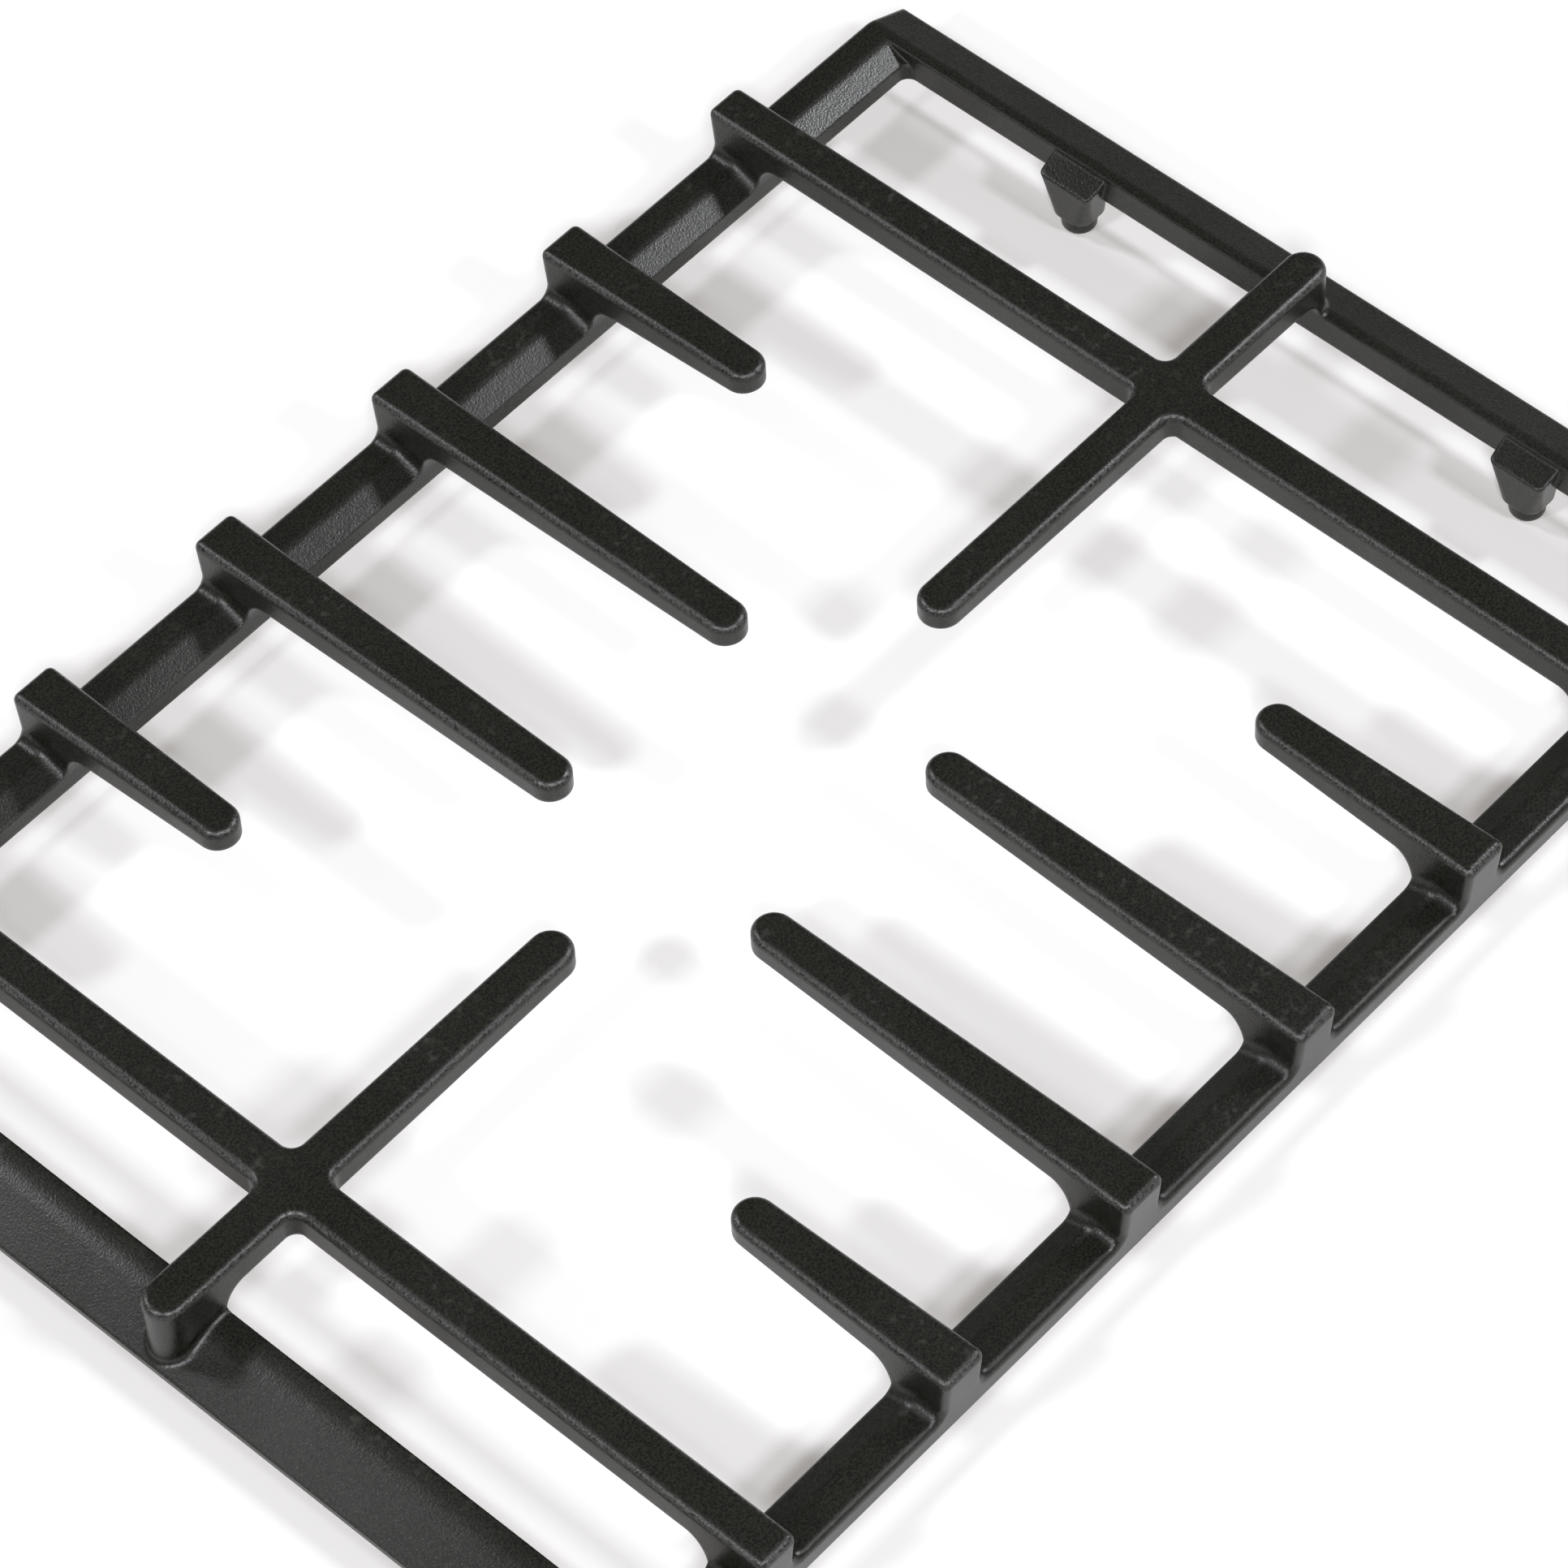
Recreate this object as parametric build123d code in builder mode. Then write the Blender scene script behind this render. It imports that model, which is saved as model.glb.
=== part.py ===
"""Cast-iron burner grate for a gas cooktop: one casting of frame, cross bars, spines and feet.

Millimetres, +Z up. The origin is at the middle of the floor rectangle that the grate covers.
+X points to the narrow end rail, and the cross bars run along Y.
"""
import os

from build123d import *

# Overall sizes, the end gaps being from the middle of the last bar to the end rail
overall_width = 270.8
far_end_gap = 46.9
near_end_gap = 26.2
bar_top = 34.0

# Bars that carry the pan
bar_pitch = 56.0
bar_width = 10.4
bar_depth = 7.6
finger_root_width = 12.2
finger_tip_width = 10.0
finger_tip_depth = 5.6
medium_tip_y = 27.5
short_tip_y = 72.8
spine_tip_x = 57.2
far_spine_setback = 7.7
near_spine_setback = 1.6

# Frame rails, the end rails sloping down to a thin outer edge
rail_top = 21.0
rail_bottom = 13.3
long_rail_width = 15.4
far_rail_width = 13.0
near_rail_width = 17.8
long_flat_width = 8.8
long_slope_drop = 3.0
far_flat_width = 2.4
far_slope_drop = 4.1
near_flat_width = 4.6
near_slope_drop = 5.9
long_under_chamfer = 2.8
outer_draft = 2.0
opening_corner_radius = 3.0

# Feet
foot_spread = 133.0
foot_block_width = 16.2
foot_block_reach = 6.4
foot_block_hold = 1.6
foot_block_top = 20.6
foot_block_drop = 3.2
foot_neck_width = 10.4
foot_neck_radius = 3.4
foot_shoulder_height = 5.4
foot_peg_diameter = 8.6
foot_peg_rounding = 1.6
foot_corner_radius = 1.0
foot_edge_radius = 0.5

# Radii of the casting
finger_web_reach = 5.8
finger_web_height = 8.6
spine_web_reach = 6.0
spine_web_height = 6.0
crossing_radius = 3.2
cove_radius = 3.0
rail_crest_radius = 6.0
near_crest_radius = 15.0
post_foot_radius = 1.6
edge_radius = 1.8

half_width = overall_width / 2
far_reach = 2.5 * bar_pitch + far_end_gap + far_rail_width
near_reach = 2.5 * bar_pitch + near_end_gap + near_rail_width
half_length = (far_reach + near_reach) / 2
burner_x = (near_reach - far_reach) / 2
bar_under = bar_top - bar_depth
finger_under = bar_top - finger_tip_depth
long_post_base = rail_bottom + long_under_chamfer
end_post_base = rail_top - near_slope_drop
inner_y = half_width - long_rail_width
slope_end_y = inner_y - opening_corner_radius
slope_stretch = (half_width - long_flat_width - slope_end_y) / (half_width - long_flat_width - inner_y)
far_inner_x = half_length - far_rail_width
near_inner_x = -half_length + near_rail_width
near_foot_x = near_inner_x - near_rail_width / 2
long_bar_x = [burner_x + side * 2.5 * bar_pitch for side in (-1, 1)]
short_finger_x = [burner_x + side * 1.5 * bar_pitch for side in (-1, 1)]
medium_finger_x = [burner_x + side * 0.5 * bar_pitch for side in (-1, 1)]
cross_bar_x = long_bar_x + short_finger_x + medium_finger_x


def distance_to_bar(edge, bars):
    """Distance along X from an edge's middle to the nearest of the listed bars."""
    return min(abs(edge.center().X - bar_x) for bar_x in bars)


with BuildPart() as frame:
    with BuildSketch(Plane.XY.offset(rail_bottom)):
        Rectangle(2 * half_length, overall_width)
        with Locations(((far_inner_x + near_inner_x) / 2, 0)):
            RectangleRounded(far_inner_x - near_inner_x, 2 * inner_y, opening_corner_radius, mode=Mode.SUBTRACT)
    extrude(amount=rail_top - rail_bottom)
    # Inner slope of each long rail, from its flat top down to the opening
    with BuildSketch(Plane.YZ.offset(near_inner_x)) as long_slope:
        with BuildLine():
            Polyline(
                (slope_end_y, rail_top),
                (half_width - long_flat_width, rail_top),
                (slope_end_y, rail_top - long_slope_drop * slope_stretch),
                close=True,
            )
        make_face()
        mirror(about=Plane.YZ)
    extrude(amount=far_inner_x - near_inner_x, mode=Mode.SUBTRACT)
    # Undercut along the bottom of each long rail's outer wall
    with BuildSketch(Plane.YZ.offset(-half_length)):
        with BuildLine():
            Polyline(
                (half_width, rail_bottom),
                (half_width, rail_bottom + long_under_chamfer),
                (half_width - long_under_chamfer, rail_bottom),
                close=True,
            )
        make_face()
        mirror(about=Plane.YZ)
    extrude(amount=2 * half_length, mode=Mode.SUBTRACT)
    # Outer slope of the two end rails
    with BuildSketch(Plane.XZ.offset(-half_width)):
        for outer, flat_end, slope_drop in (
            (half_length, far_inner_x + far_flat_width, far_slope_drop),
            (-half_length, near_inner_x - near_flat_width, near_slope_drop),
        ):
            with BuildLine():
                Polyline(
                    (outer, rail_top),
                    (flat_end, rail_top),
                    (outer, rail_top - slope_drop),
                    close=True,
                )
            make_face()
    extrude(amount=overall_width, mode=Mode.SUBTRACT)
    # Soft change from each rail's flat top to its slope
    long_crests = [
        edge
        for edge in frame.edges().filter_by(Axis.X)
        if abs(abs(edge.center().Y) - half_width + long_flat_width) < 0.1 and edge.center().Z > rail_top - 0.1
    ]
    end_crests = [
        edge
        for edge in frame.edges().filter_by(Axis.Y)
        if not near_inner_x < edge.center().X < far_inner_x
        and edge.center().Z > rail_top - 0.1
        and edge.length > overall_width - 1
    ]
    far_crest = [edge for edge in end_crests if edge.center().X > far_inner_x]
    near_crest = [edge for edge in end_crests if edge.center().X < near_inner_x]
    fillet(long_crests + far_crest, rail_crest_radius)
    fillet(near_crest, near_crest_radius)


def finger_plan(centre_x, tip_y):
    """Plan of one finger, tapering from the rail to a half-round tip."""
    root = finger_root_width / 2
    tip = finger_tip_width / 2
    with BuildSketch() as plan:
        with BuildLine():
            Line((centre_x - tip, tip_y + tip), (centre_x - root, half_width))
            Line((centre_x - root, half_width), (centre_x + root, half_width))
            Line((centre_x + root, half_width), (centre_x + tip, tip_y + tip))
            ThreePointArc((centre_x + tip, tip_y + tip), (centre_x, tip_y), (centre_x - tip, tip_y + tip))
        make_face()
    return plan.sketch


def post_and_web(outer, inner, tip, base, web_reach, web_height, tip_under):
    """Side profile of a bar along its own length: post on the rail, swept web and underside."""
    inward = 1 if tip > inner else -1
    web_start = inner + inward * web_reach
    web_foot = bar_under - web_height
    with BuildSketch() as profile:
        with BuildLine():
            Polyline(
                (inner, web_foot),
                (inner, base),
                (outer, base),
                (outer, bar_top),
                (tip, bar_top),
                (tip, tip_under),
                (web_start, bar_under),
            )
            EllipticalCenterArc((web_start, web_foot), web_reach, web_height, 45 + 45 * inward, arc_size=90)
        make_face()
    return profile.sketch


def finger_row(positions, tip_y):
    """Fingers of one length, on both long rails: their plan cut to their side profile."""
    with BuildPart() as row:
        with BuildSketch(Plane.XY.offset(rail_bottom)):
            for finger_x in positions:
                add(finger_plan(finger_x, tip_y))
        extrude(amount=bar_top - rail_bottom)
        with BuildSketch(Plane.YZ.offset(-half_length)):
            add(
                post_and_web(
                    half_width, inner_y, tip_y, long_post_base, finger_web_reach, finger_web_height, finger_under
                )
            )
        extrude(amount=2 * half_length, mode=Mode.INTERSECT)
        mirror(about=Plane.XZ)
    return row.part


with BuildPart() as long_bars:
    with BuildSketch(Plane.XY.offset(rail_bottom)):
        for bar_x in long_bar_x:
            with Locations((bar_x, half_width / 2)):
                Rectangle(bar_width, half_width)
    extrude(amount=bar_top - rail_bottom)
    with BuildSketch(Plane.YZ.offset(-half_length)):
        add(
            post_and_web(half_width, inner_y, 0, long_post_base, finger_web_reach, finger_web_height, bar_under)
        )
    extrude(amount=2 * half_length, mode=Mode.INTERSECT)
    mirror(about=Plane.XZ)


def spine(end, tip, inner):
    """One spine: a bar along X, half-round at both ends, standing on an end rail."""
    with BuildPart() as bar:
        with BuildSketch(Plane.XY.offset(rail_bottom)):
            with Locations(((end + tip) / 2, 0)):
                SlotOverall(abs(end - tip), bar_width)
        extrude(amount=bar_top - rail_bottom)
        with BuildSketch(Plane.XZ.offset(-bar_width)):
            add(post_and_web(end, inner, tip, end_post_base, spine_web_reach, spine_web_height, finger_under))
        extrude(amount=2 * bar_width, mode=Mode.INTERSECT)
    return bar.part


def foot(centre_x, block_top, block_reach, block_hold):
    """Pair of feet under an end rail: a block that tapers to a square neck, with a round peg below it."""
    with BuildPart() as pair:
        with BuildSketch(Plane.XY.offset(foot_shoulder_height)):
            with Locations((centre_x, foot_spread / 2)):
                RectangleRounded(foot_neck_width, foot_neck_width, foot_neck_radius)
        with BuildSketch(Plane.XY.offset(block_top)):
            with Locations((centre_x + (block_hold - block_reach) / 2, foot_spread / 2)):
                RectangleRounded(block_hold + block_reach, foot_block_width, foot_corner_radius)
        loft()
        with BuildSketch(Plane.XY):
            with Locations((centre_x, foot_spread / 2)):
                Circle(foot_peg_diameter / 2)
        extrude(amount=foot_shoulder_height)
        fillet(pair.edges().group_by(Axis.Z)[0], foot_peg_rounding)
        mirror(about=Plane.XZ)
    return pair.part


with BuildPart() as far_feet:
    add(foot(far_inner_x, foot_block_top, foot_block_reach, foot_block_hold))
    # Top of each block, falling away from the rail
    with BuildSketch(Plane.XZ.offset(-half_width)):
        with BuildLine():
            Polyline(
                (far_inner_x + foot_block_hold, foot_block_top),
                (far_inner_x - foot_block_reach, foot_block_top),
                (far_inner_x - foot_block_reach, foot_block_top - foot_block_drop),
                close=True,
            )
        make_face()
    extrude(amount=overall_width, mode=Mode.SUBTRACT)
    fallen = [
        face
        for face in far_feet.faces().filter_by(GeomType.PLANE)
        if face.normal_at().X < -0.1 and face.normal_at().Z > 0.1
    ]
    block_rims = [edge for face in fallen for edge in face.edges() if edge.center().X < far_inner_x]
    fillet(block_rims, foot_edge_radius)


with BuildPart() as burner_grate:
    add(frame.part)
    add(finger_row(medium_finger_x, medium_tip_y))
    add(finger_row(short_finger_x, short_tip_y))
    add(long_bars.part)
    add(spine(half_length - far_spine_setback, burner_x + spine_tip_x, far_inner_x))
    add(spine(near_spine_setback - half_length, burner_x - spine_tip_x, near_inner_x))
    by_long_bars = burner_grate.edges().filter_by(Axis.Z).filter_by_position(Axis.Y, -bar_width, bar_width)
    crossings = [edge for edge in by_long_bars if distance_to_bar(edge, long_bar_x) < bar_width]
    fillet(crossings, crossing_radius)
    on_rails = burner_grate.edges().filter_by_position(Axis.Z, rail_top - long_slope_drop, rail_top, (False, True))
    coves = [
        edge
        for edge in on_rails
        if inner_y < abs(edge.center().Y) < half_width - edge_radius
        and distance_to_bar(edge, cross_bar_x) < finger_root_width
    ]
    fillet(coves, cove_radius)
    post_feet = [
        edge
        for edge in burner_grate.edges().filter_by_position(Axis.Y, -bar_width / 2, bar_width / 2)
        if end_post_base < edge.center().Z < rail_top + edge_radius
        and (near_inner_x > edge.center().X or edge.center().X > far_inner_x)
        and edge not in burner_grate.edges().filter_by(Axis.Z)
        and edge.length < bar_width * 2
    ]
    fillet(post_feet, post_foot_radius)
    # Casting draft of the long sides, one plane from the finger ends down the rails
    with BuildSketch(Plane.YZ.offset(-half_length)):
        with BuildLine():
            Polyline(
                (half_width, bar_top),
                (half_width, rail_bottom),
                (half_width - outer_draft, rail_bottom),
                close=True,
            )
        make_face()
        mirror(about=Plane.YZ)
    extrude(amount=2 * half_length, mode=Mode.SUBTRACT)
    outer_faces = [
        burner_grate.faces().filter_by(GeomType.PLANE).sort_by(Axis.Y)[end] for end in (0, -1)
    ]
    outer_edges = [
        edge for face in outer_faces for edge in face.edges()
        if edge.center().Z > long_post_base + 0.1
    ]
    pan_edges = burner_grate.edges().group_by(Axis.Z)[-1]
    fillet(pan_edges + outer_edges, edge_radius)
    add(far_feet.part)
    add(foot(near_foot_x, end_post_base, foot_block_reach, foot_block_reach))

os.makedirs("parts", exist_ok=True)
burner_grate.part.label = "burner_grate"
export_step(burner_grate.part, "parts/burner_grate.step")
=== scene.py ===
# %% [markdown]
# # A cast-iron burner grate
#
# This is the pan support of a gas cooktop. It is one iron casting: a low frame, cross bars and
# fingers raised on short posts, a spine from each end, and four pegs for feet. The shape comes from
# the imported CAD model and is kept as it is, because a casting is a solid that CAD describes well.
# What this script adds is the enamel, the studio and the camera.

# %% Load the casting
import bpy
import math
from mathutils import Matrix, Vector


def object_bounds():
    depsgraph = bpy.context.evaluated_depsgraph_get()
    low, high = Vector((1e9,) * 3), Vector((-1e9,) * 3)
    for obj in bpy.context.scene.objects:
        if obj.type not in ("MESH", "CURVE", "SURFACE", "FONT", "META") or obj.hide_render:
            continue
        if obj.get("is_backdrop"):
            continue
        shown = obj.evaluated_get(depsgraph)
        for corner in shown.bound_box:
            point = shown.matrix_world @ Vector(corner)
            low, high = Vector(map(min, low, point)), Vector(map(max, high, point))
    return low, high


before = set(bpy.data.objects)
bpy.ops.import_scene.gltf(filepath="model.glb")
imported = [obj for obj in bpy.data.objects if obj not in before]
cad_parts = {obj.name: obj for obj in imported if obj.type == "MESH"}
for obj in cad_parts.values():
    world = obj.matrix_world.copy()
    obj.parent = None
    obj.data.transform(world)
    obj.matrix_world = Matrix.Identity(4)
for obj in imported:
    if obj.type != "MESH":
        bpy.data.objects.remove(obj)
cad_low, cad_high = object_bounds()
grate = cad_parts["burner_grate"]
mm = 0.001
print("casting", [round(size / mm, 1) for size in cad_high - cad_low], "mm")

# %% [markdown]
# ## Colours and nodes
#
# Colours are read from the photograph as the hex values a paint program shows. Blender's shaders work
# in linear light, so one function converts them. A second small function adds a node, sets it up and
# links it, which keeps each material readable as a list of steps.

# %% Two helpers
def colour(hex_value):
    """Linear colour with alpha of an sRGB hex value."""
    channels = [int(hex_value[place:place + 2], 16) / 255 for place in (1, 3, 5)]
    linear = [c / 12.92 if c <= 0.04045 else ((c + 0.055) / 1.055) ** 2.4 for c in channels]
    return (*linear, 1.0)


def step(tree, kind, settings=None, values=None, links=None):
    """Adds a node with the given properties, socket values and incoming links."""
    node = tree.nodes.new(kind)
    for name, value in (settings or {}).items():
        setattr(node, name, value)
    for socket, value in (values or {}).items():
        node.inputs[socket].default_value = value
    for socket, source in (links or {}).items():
        tree.links.new(source, node.inputs[socket])
    return node


print("mid grey in linear light", [round(c, 3) for c in colour("#808080")])

# %% [markdown]
# ## Satin black enamel on sand-cast iron
#
# The casting is shot-blasted and then coated with black porcelain enamel, fired to a satin glass
# about 0.2 mm thick. Faces seen head on stay nearly black, and faces seen at a slant pick up the pale
# room. The blasted iron shows through as a fine grain on a slower orange peel. Firing leaves the gloss
# a little uneven, in clouds as wide as a finger is long. An image texture could do the same from one
# side, but noise on object coordinates wraps every face without a seam, so four noises are set up
# here and the next steps use them.

# %% The enamel's noises
enamel = bpy.data.materials.new("satin_black_enamel")
enamel.use_nodes = True
tree = enamel.node_tree
tree.nodes.clear()

sand_grain_mm = 0.55    # blast pits are about 0.2 mm, too fine to show, so they are coarser here
orange_peel_mm = 2.6
cloud_mm = 38.0
speck_mm = 2.4

place = step(tree, "ShaderNodeTexCoord").outputs["Object"]
grain = step(tree, "ShaderNodeTexNoise",
             values={"Scale": 1 / (sand_grain_mm * mm), "Detail": 2.0, "Roughness": 0.6},
             links={"Vector": place})
peel = step(tree, "ShaderNodeTexNoise",
            values={"Scale": 1 / (orange_peel_mm * mm), "Detail": 2.0},
            links={"Vector": place})
cloud = step(tree, "ShaderNodeTexNoise",
             values={"Scale": 1 / (cloud_mm * mm), "Detail": 3.0},
             links={"Vector": place})
speck = step(tree, "ShaderNodeTexNoise",
             values={"Scale": 1 / (speck_mm * mm), "Detail": 2.0},
             links={"Vector": place})
scales = [round(noise.inputs["Scale"].default_value) for noise in (grain, peel, cloud, speck)]
print("noise scales", scales, "per metre")

# %% [markdown]
# ## Black, with dust on it
#
# The enamel's black isn't even: the glass is thinner on the grains' tips, which look a shade greener.
# Pale specks lie on the tops that carry the pans. They only settle where a face looks up, so the
# normal's Z picks the tops. The speck noise is cut high to leave a few of its peaks, and the slow
# cloud noise groups them into patches, as dust really lies. Painting them by hand would look the
# same in one view, but these masks work all over.

# %% Dust and tint
level_tilt = (0.90, 0.99)
speck_cut = (0.58, 0.74)
patch_cut = (0.47, 0.64)
mottle_cut = (0.36, 0.64)
thick_black, thin_black, dust_tone = "#030303", "#1c1d15", "#2b2b27"

facing = step(tree, "ShaderNodeNewGeometry").outputs["Normal"]
upward = step(tree, "ShaderNodeSeparateXYZ", links={"Vector": facing}).outputs["Z"]
top_mask = step(tree, "ShaderNodeMapRange", {"clamp": True},
                {"From Min": level_tilt[0], "From Max": level_tilt[1]}, {"Value": upward})
speck_mask = step(tree, "ShaderNodeMapRange", {"clamp": True},
                  {"From Min": speck_cut[0], "From Max": speck_cut[1]},
                  {"Value": speck.outputs["Fac"]})
patch_mask = step(tree, "ShaderNodeMapRange", {"clamp": True},
                  {"From Min": patch_cut[0], "From Max": patch_cut[1]},
                  {"Value": cloud.outputs["Fac"]})
mottle = step(tree, "ShaderNodeMapRange", {"clamp": True},
              {"From Min": mottle_cut[0], "From Max": mottle_cut[1]},
              {"Value": grain.outputs["Fac"]})
on_top = step(tree, "ShaderNodeMath", {"operation": "MULTIPLY"},
              links={0: top_mask.outputs["Result"], 1: speck_mask.outputs["Result"]})
dust = step(tree, "ShaderNodeMath", {"operation": "MULTIPLY"},
            links={0: on_top.outputs["Value"], 1: patch_mask.outputs["Result"]})
tint = step(tree, "ShaderNodeMix", {"data_type": "RGBA"},
            {6: colour(thick_black), 7: colour(thin_black)}, {0: mottle.outputs["Result"]})
dusty = step(tree, "ShaderNodeMix", {"data_type": "RGBA"}, {7: colour(dust_tone)},
             {0: dust.outputs["Value"], 6: tint.outputs[2]})
print("black from", thick_black, "to", thin_black, "with dust", dust_tone)

# %% [markdown]
# ## Rims worn by pans, with a painted highlight
#
# Pans are dragged over the bars and wear the rims of their tops a shade paler. The pale rim colour
# is partly this wear and partly a painted highlight along the rims. Blender's Pointiness finds edges on
# a merged mesh, but a CAD mesh is loose triangles. Height and slope do it here: a rim is just under the
# pan's base and turned away from straight up. The grain breaks the line up, because only the tips of
# the grains are worn.

# %% Worn rims and painted rim highlight
pan_height_mm = 34.0
rim_depth_mm = 1.6
rim_full_mm = 0.6
rim_tilt = (0.95, 0.75)
# the pale rim tone is partly wear and partly a painted highlight
rim_wear_and_highlight_tone = "#434341"

height = step(tree, "ShaderNodeSeparateXYZ", links={"Vector": place}).outputs["Z"]
near_pan = step(tree, "ShaderNodeMapRange", {"clamp": True},
                {"From Min": (pan_height_mm - rim_depth_mm) * mm,
                 "From Max": (pan_height_mm - rim_full_mm) * mm}, {"Value": height})
turned = step(tree, "ShaderNodeMapRange", {"clamp": True},
              {"From Min": rim_tilt[0], "From Max": rim_tilt[1]}, {"Value": upward})
rim = step(tree, "ShaderNodeMath", {"operation": "MULTIPLY"},
           links={0: near_pan.outputs["Result"], 1: turned.outputs["Result"]})
# rim mask broken up by the grain: where the wear and the painted highlight go
rim_wear_and_highlight = step(tree, "ShaderNodeMath", {"operation": "MULTIPLY"},
              links={0: rim.outputs["Value"], 1: mottle.outputs["Result"]})
skin = step(tree, "ShaderNodeMix", {"data_type": "RGBA"}, {7: colour(rim_wear_and_highlight_tone)},
            {0: rim_wear_and_highlight.outputs["Value"], 6: dusty.outputs[2]})
print("rims from", pan_height_mm - rim_depth_mm, "to", pan_height_mm, "mm")

# %% [markdown]
# ## Satin gloss over the grain
#
# Enamel is a glass, so the shader is a dielectric with an index of refraction close to 1.5 and a satin
# roughness. Molten glass also draws back over an edge and rounds it. A bevel modifier would change the
# casting's mesh, so the shader's Bevel node turns the normals near the edges instead, and the
# highlights along the rims come out soft. Two bumps follow it, the slow orange peel and then the grain.

# %% Gloss and grain
edge_softness_mm = 1.1
edge_samples = 6
satin = (0.28, 0.38)
cloud_range = (0.3, 0.7)
peel_strength, peel_depth_mm = 0.06, 0.3
grain_strength, grain_depth_mm = 0.85, 0.08
glass_index = 1.46

gloss = step(tree, "ShaderNodeMapRange", {"clamp": True},
             {"From Min": cloud_range[0], "From Max": cloud_range[1],
              "To Min": satin[0], "To Max": satin[1]}, {"Value": cloud.outputs["Fac"]})
soft_edge = step(tree, "ShaderNodeBevel", {"samples": edge_samples},
                 {"Radius": edge_softness_mm * mm})
peel_bump = step(tree, "ShaderNodeBump",
                 values={"Strength": peel_strength, "Distance": peel_depth_mm * mm},
                 links={"Height": peel.outputs["Fac"], "Normal": soft_edge.outputs["Normal"]})
grain_bump = step(tree, "ShaderNodeBump",
                  values={"Strength": grain_strength, "Distance": grain_depth_mm * mm},
                  links={"Height": grain.outputs["Fac"], "Normal": peel_bump.outputs["Normal"]})
glass = step(tree, "ShaderNodeBsdfPrincipled", values={"IOR": glass_index, "Metallic": 0.0},
             links={"Base Color": skin.outputs[2], "Roughness": gloss.outputs["Result"],
                    "Normal": grain_bump.outputs["Normal"]})
step(tree, "ShaderNodeOutputMaterial", links={"Surface": glass.outputs["BSDF"]})
for material_slot in grate.material_slots:
    material_slot.material = enamel
print("enamel nodes", len(tree.nodes), "on", len(grate.material_slots), "slot")

# %% [markdown]
# ## Floor
#
# The grate lies on white paper, and the photograph is exposed until the open paper is just past white.
# The faint parts of the shadows vanish, and grey spots stay where several lamps are hidden at once.
# The spots are warm, perhaps because the last light in them comes from the room and not from the
# lamps. A faint warm glow of the sheet stands in for it. A brighter world would do that too, but it
# would grey the enamel. The sheet reaches far beyond the frame, so the camera sees nothing else.

# %% White floor
paper_size = 12.0
room_glow = 0.17

bpy.ops.object.select_all(action="DESELECT")
bpy.ops.mesh.primitive_plane_add(size=paper_size, location=(0, 0, 0))
floor = bpy.context.object
floor.name = "white_paper"
paper = bpy.data.materials.new("white_paper")
paper.use_nodes = True
paper.node_tree.nodes.clear()
sheet = step(paper.node_tree, "ShaderNodeBsdfDiffuse", values={"Color": colour("#cbcbcb")})
glow = step(paper.node_tree, "ShaderNodeEmission",
            values={"Color": colour("#fff2e4"), "Strength": room_glow})
lit_sheet = step(paper.node_tree, "ShaderNodeAddShader",
                 links={0: sheet.outputs["BSDF"], 1: glow.outputs["Emission"]})
step(paper.node_tree, "ShaderNodeOutputMaterial", links={"Surface": lit_sheet.outputs["Shader"]})
floor.data.materials.append(paper)
floor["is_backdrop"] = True
print("floor", floor.name)

# %% [markdown]
# ## Light
#
# The photograph doesn't show its lamps, so their places are worked out from the shadows. Shadows of
# the casting, drawn for many directions and fitted to the tones of the paper, point to lamps about 45
# degrees up, in a ring with a gap behind the grate. Five soft boxes fit well. Four fit almost as well,
# so the number is a choice. Their places were then shifted a few degrees and their powers set by
# tone, so that the enamel fits too. The flat tops mirror the gap and stay nearly black. The
# inner slope of the far long rail mirrors the box on the right, and the slope of the wide end plate
# the one on the left. One large box overhead would be simpler, but then all the tops would shine.

# %% Soft boxes and room
ring_distance = 2.0
box_size = 0.24
room_strength = 0.15


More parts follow.
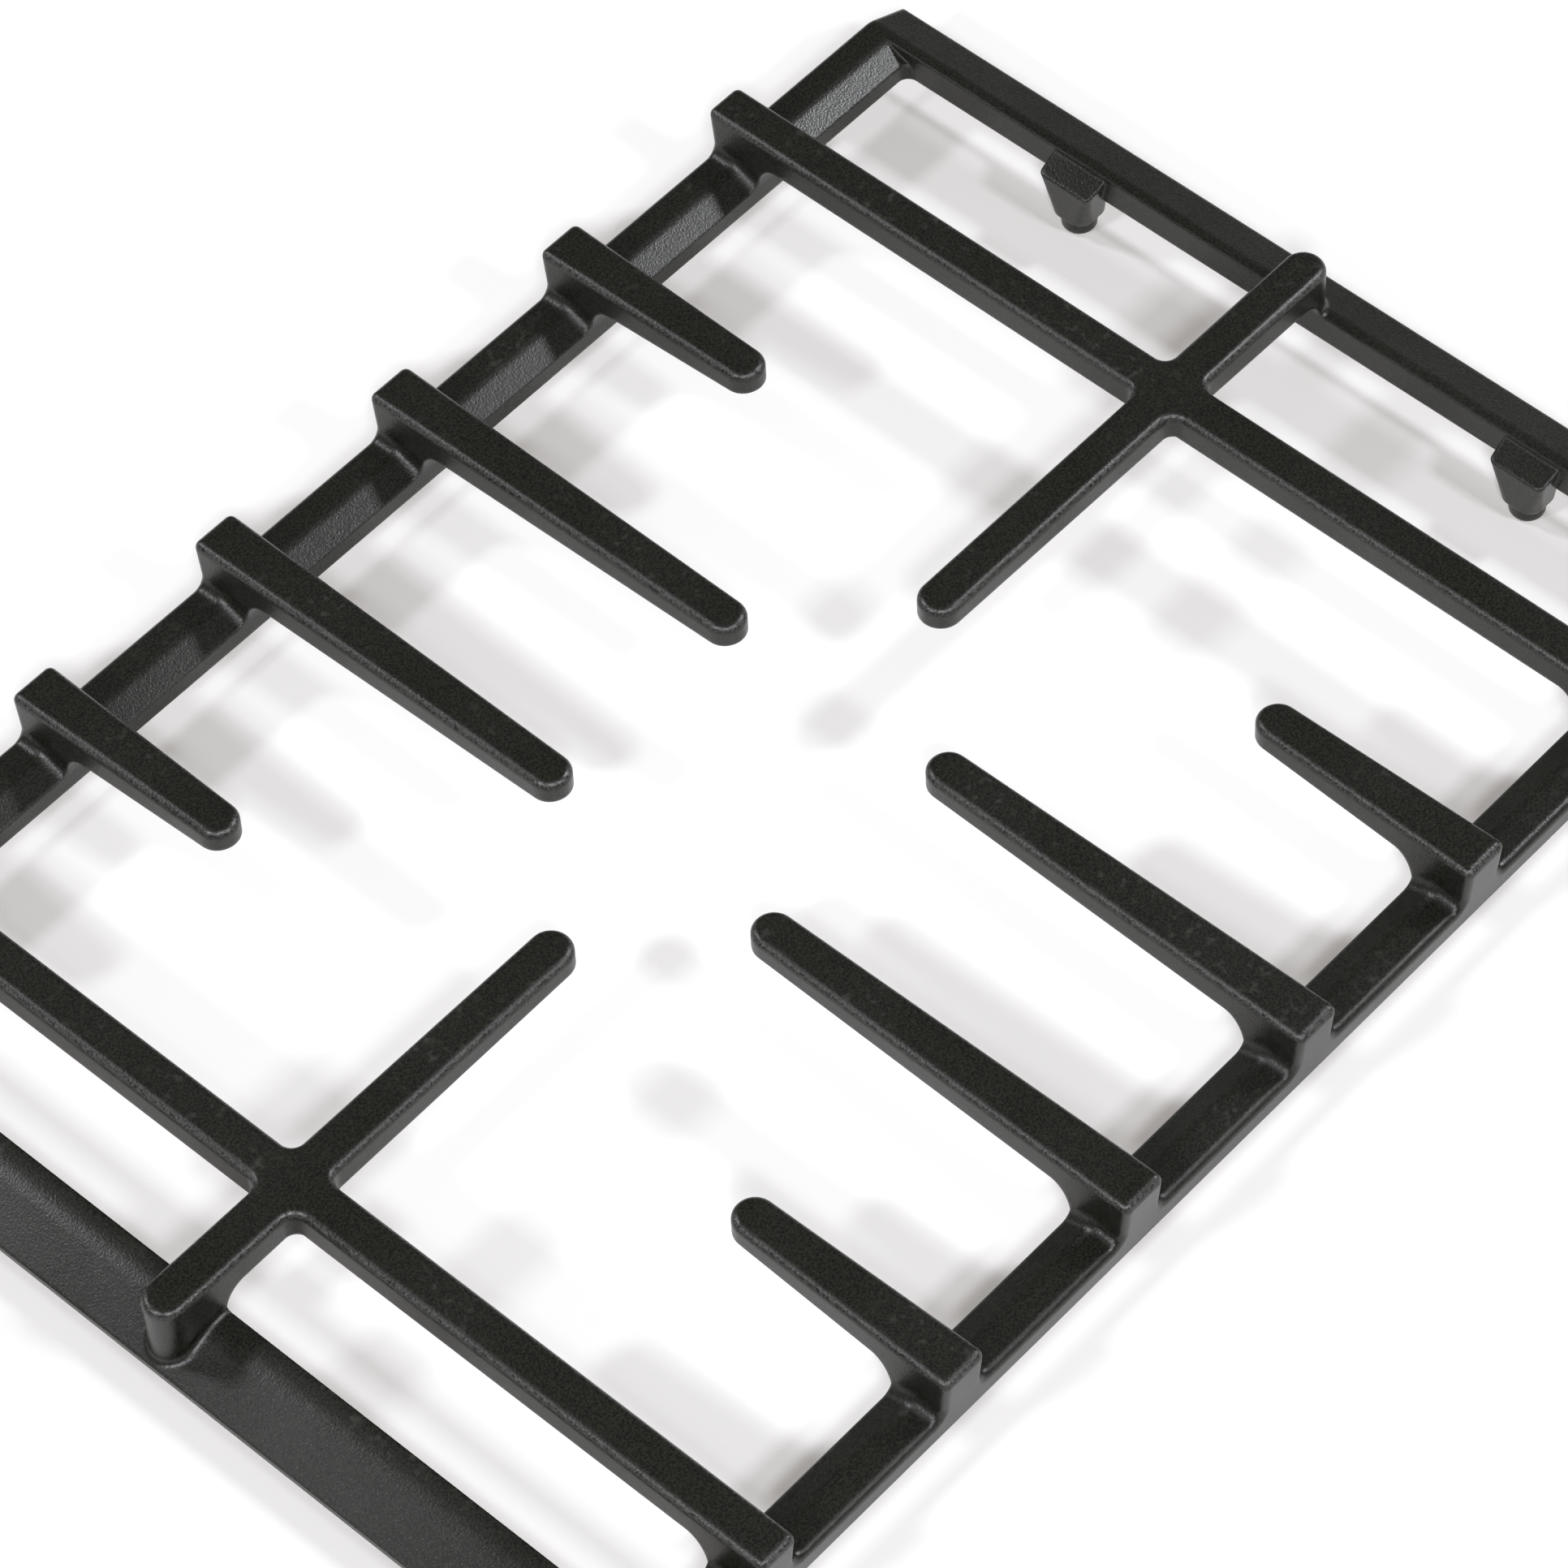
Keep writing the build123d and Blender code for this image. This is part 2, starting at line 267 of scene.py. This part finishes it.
def soft_box(name, bearing, height, watts):
    """A square soft box on the ring, at a bearing from the X axis and a height, both in degrees."""
    lamp = bpy.data.lights.new(name, "AREA")
    lamp.shape = "SQUARE"
    lamp.size = box_size
    lamp.energy = watts
    lamp.color = colour("#fafbff")[:3]
    box = bpy.data.objects.new(name, lamp)
    turn, lift = math.radians(bearing), math.radians(height)
    direction = Vector((
        math.cos(turn) * math.cos(lift),
        math.sin(turn) * math.cos(lift),
        math.sin(lift),
    ))
    box.location = direction * ring_distance
    box.rotation_mode = "QUATERNION"
    box.rotation_quaternion = direction.to_track_quat("Z", "Y")
    bpy.context.scene.collection.objects.link(box)


soft_box("right_soft_box", 337, 45, 22.0)
soft_box("left_soft_box", 112, 44, 14.0)
soft_box("near_soft_box", 175, 42, 18.0)
soft_box("front_soft_box", 228, 48, 20.0)
soft_box("side_soft_box", 275, 45, 17.0)

room = bpy.data.worlds.new("grey_room")
room.use_nodes = True
backdrop = room.node_tree.nodes["Background"]
backdrop.inputs["Color"].default_value = colour("#ffffff")
backdrop.inputs["Strength"].default_value = room_strength
bpy.context.scene.world = room

# %% [markdown]
# ## Camera
#
# The bars' vanishing points in the photograph give the lens and the angle: a long lens from above the
# corner between the wide end plate and the right rail. Framing by eye would do for a portrait, but here
# each bar should fall where the photograph has it. The frame cuts the casting on three sides, as
# the photograph does, and the camera's slight roll is kept.

# %% The photograph's view
photo_pixels = 1932
focal_pixels = 8543.7
camera_place = Vector((-642.7, -634.0, 1221.3)) * mm
azimuth, elevation, roll = (math.radians(angle) for angle in (44.495, 53.079, -3.104))

lens = bpy.data.cameras.new("photo_camera")
lens.sensor_width = 36.0
lens.lens = lens.sensor_width * focal_pixels / photo_pixels
lens.clip_end = 50.0
camera = bpy.data.objects.new("photo_camera", lens)
forward = Vector((
    math.cos(azimuth) * math.cos(elevation),
    math.sin(azimuth) * math.cos(elevation),
    -math.sin(elevation),
))
camera.rotation_mode = "QUATERNION"
camera.rotation_quaternion = (forward.to_track_quat("-Z", "Y")
                              @ Matrix.Rotation(roll, 3, "Z").to_quaternion())
camera.location = camera_place
bpy.context.scene.collection.objects.link(camera)
bpy.context.scene.camera = camera
bpy.context.scene.view_settings.view_transform = "Standard"
print("lens", round(lens.lens, 1), "mm")

# %% [markdown]
# ## Size
#
# Blender dresses the casting and never resizes it. The box of the CAD model and the box of what is
# shown are written down together, so that a difference would be seen at once.

# %% Sizes and finish
new_low, new_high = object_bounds()
growth = (new_high - new_low) - (cad_high - cad_low)
print("grown by", [round(size / mm, 3) for size in growth], "mm")
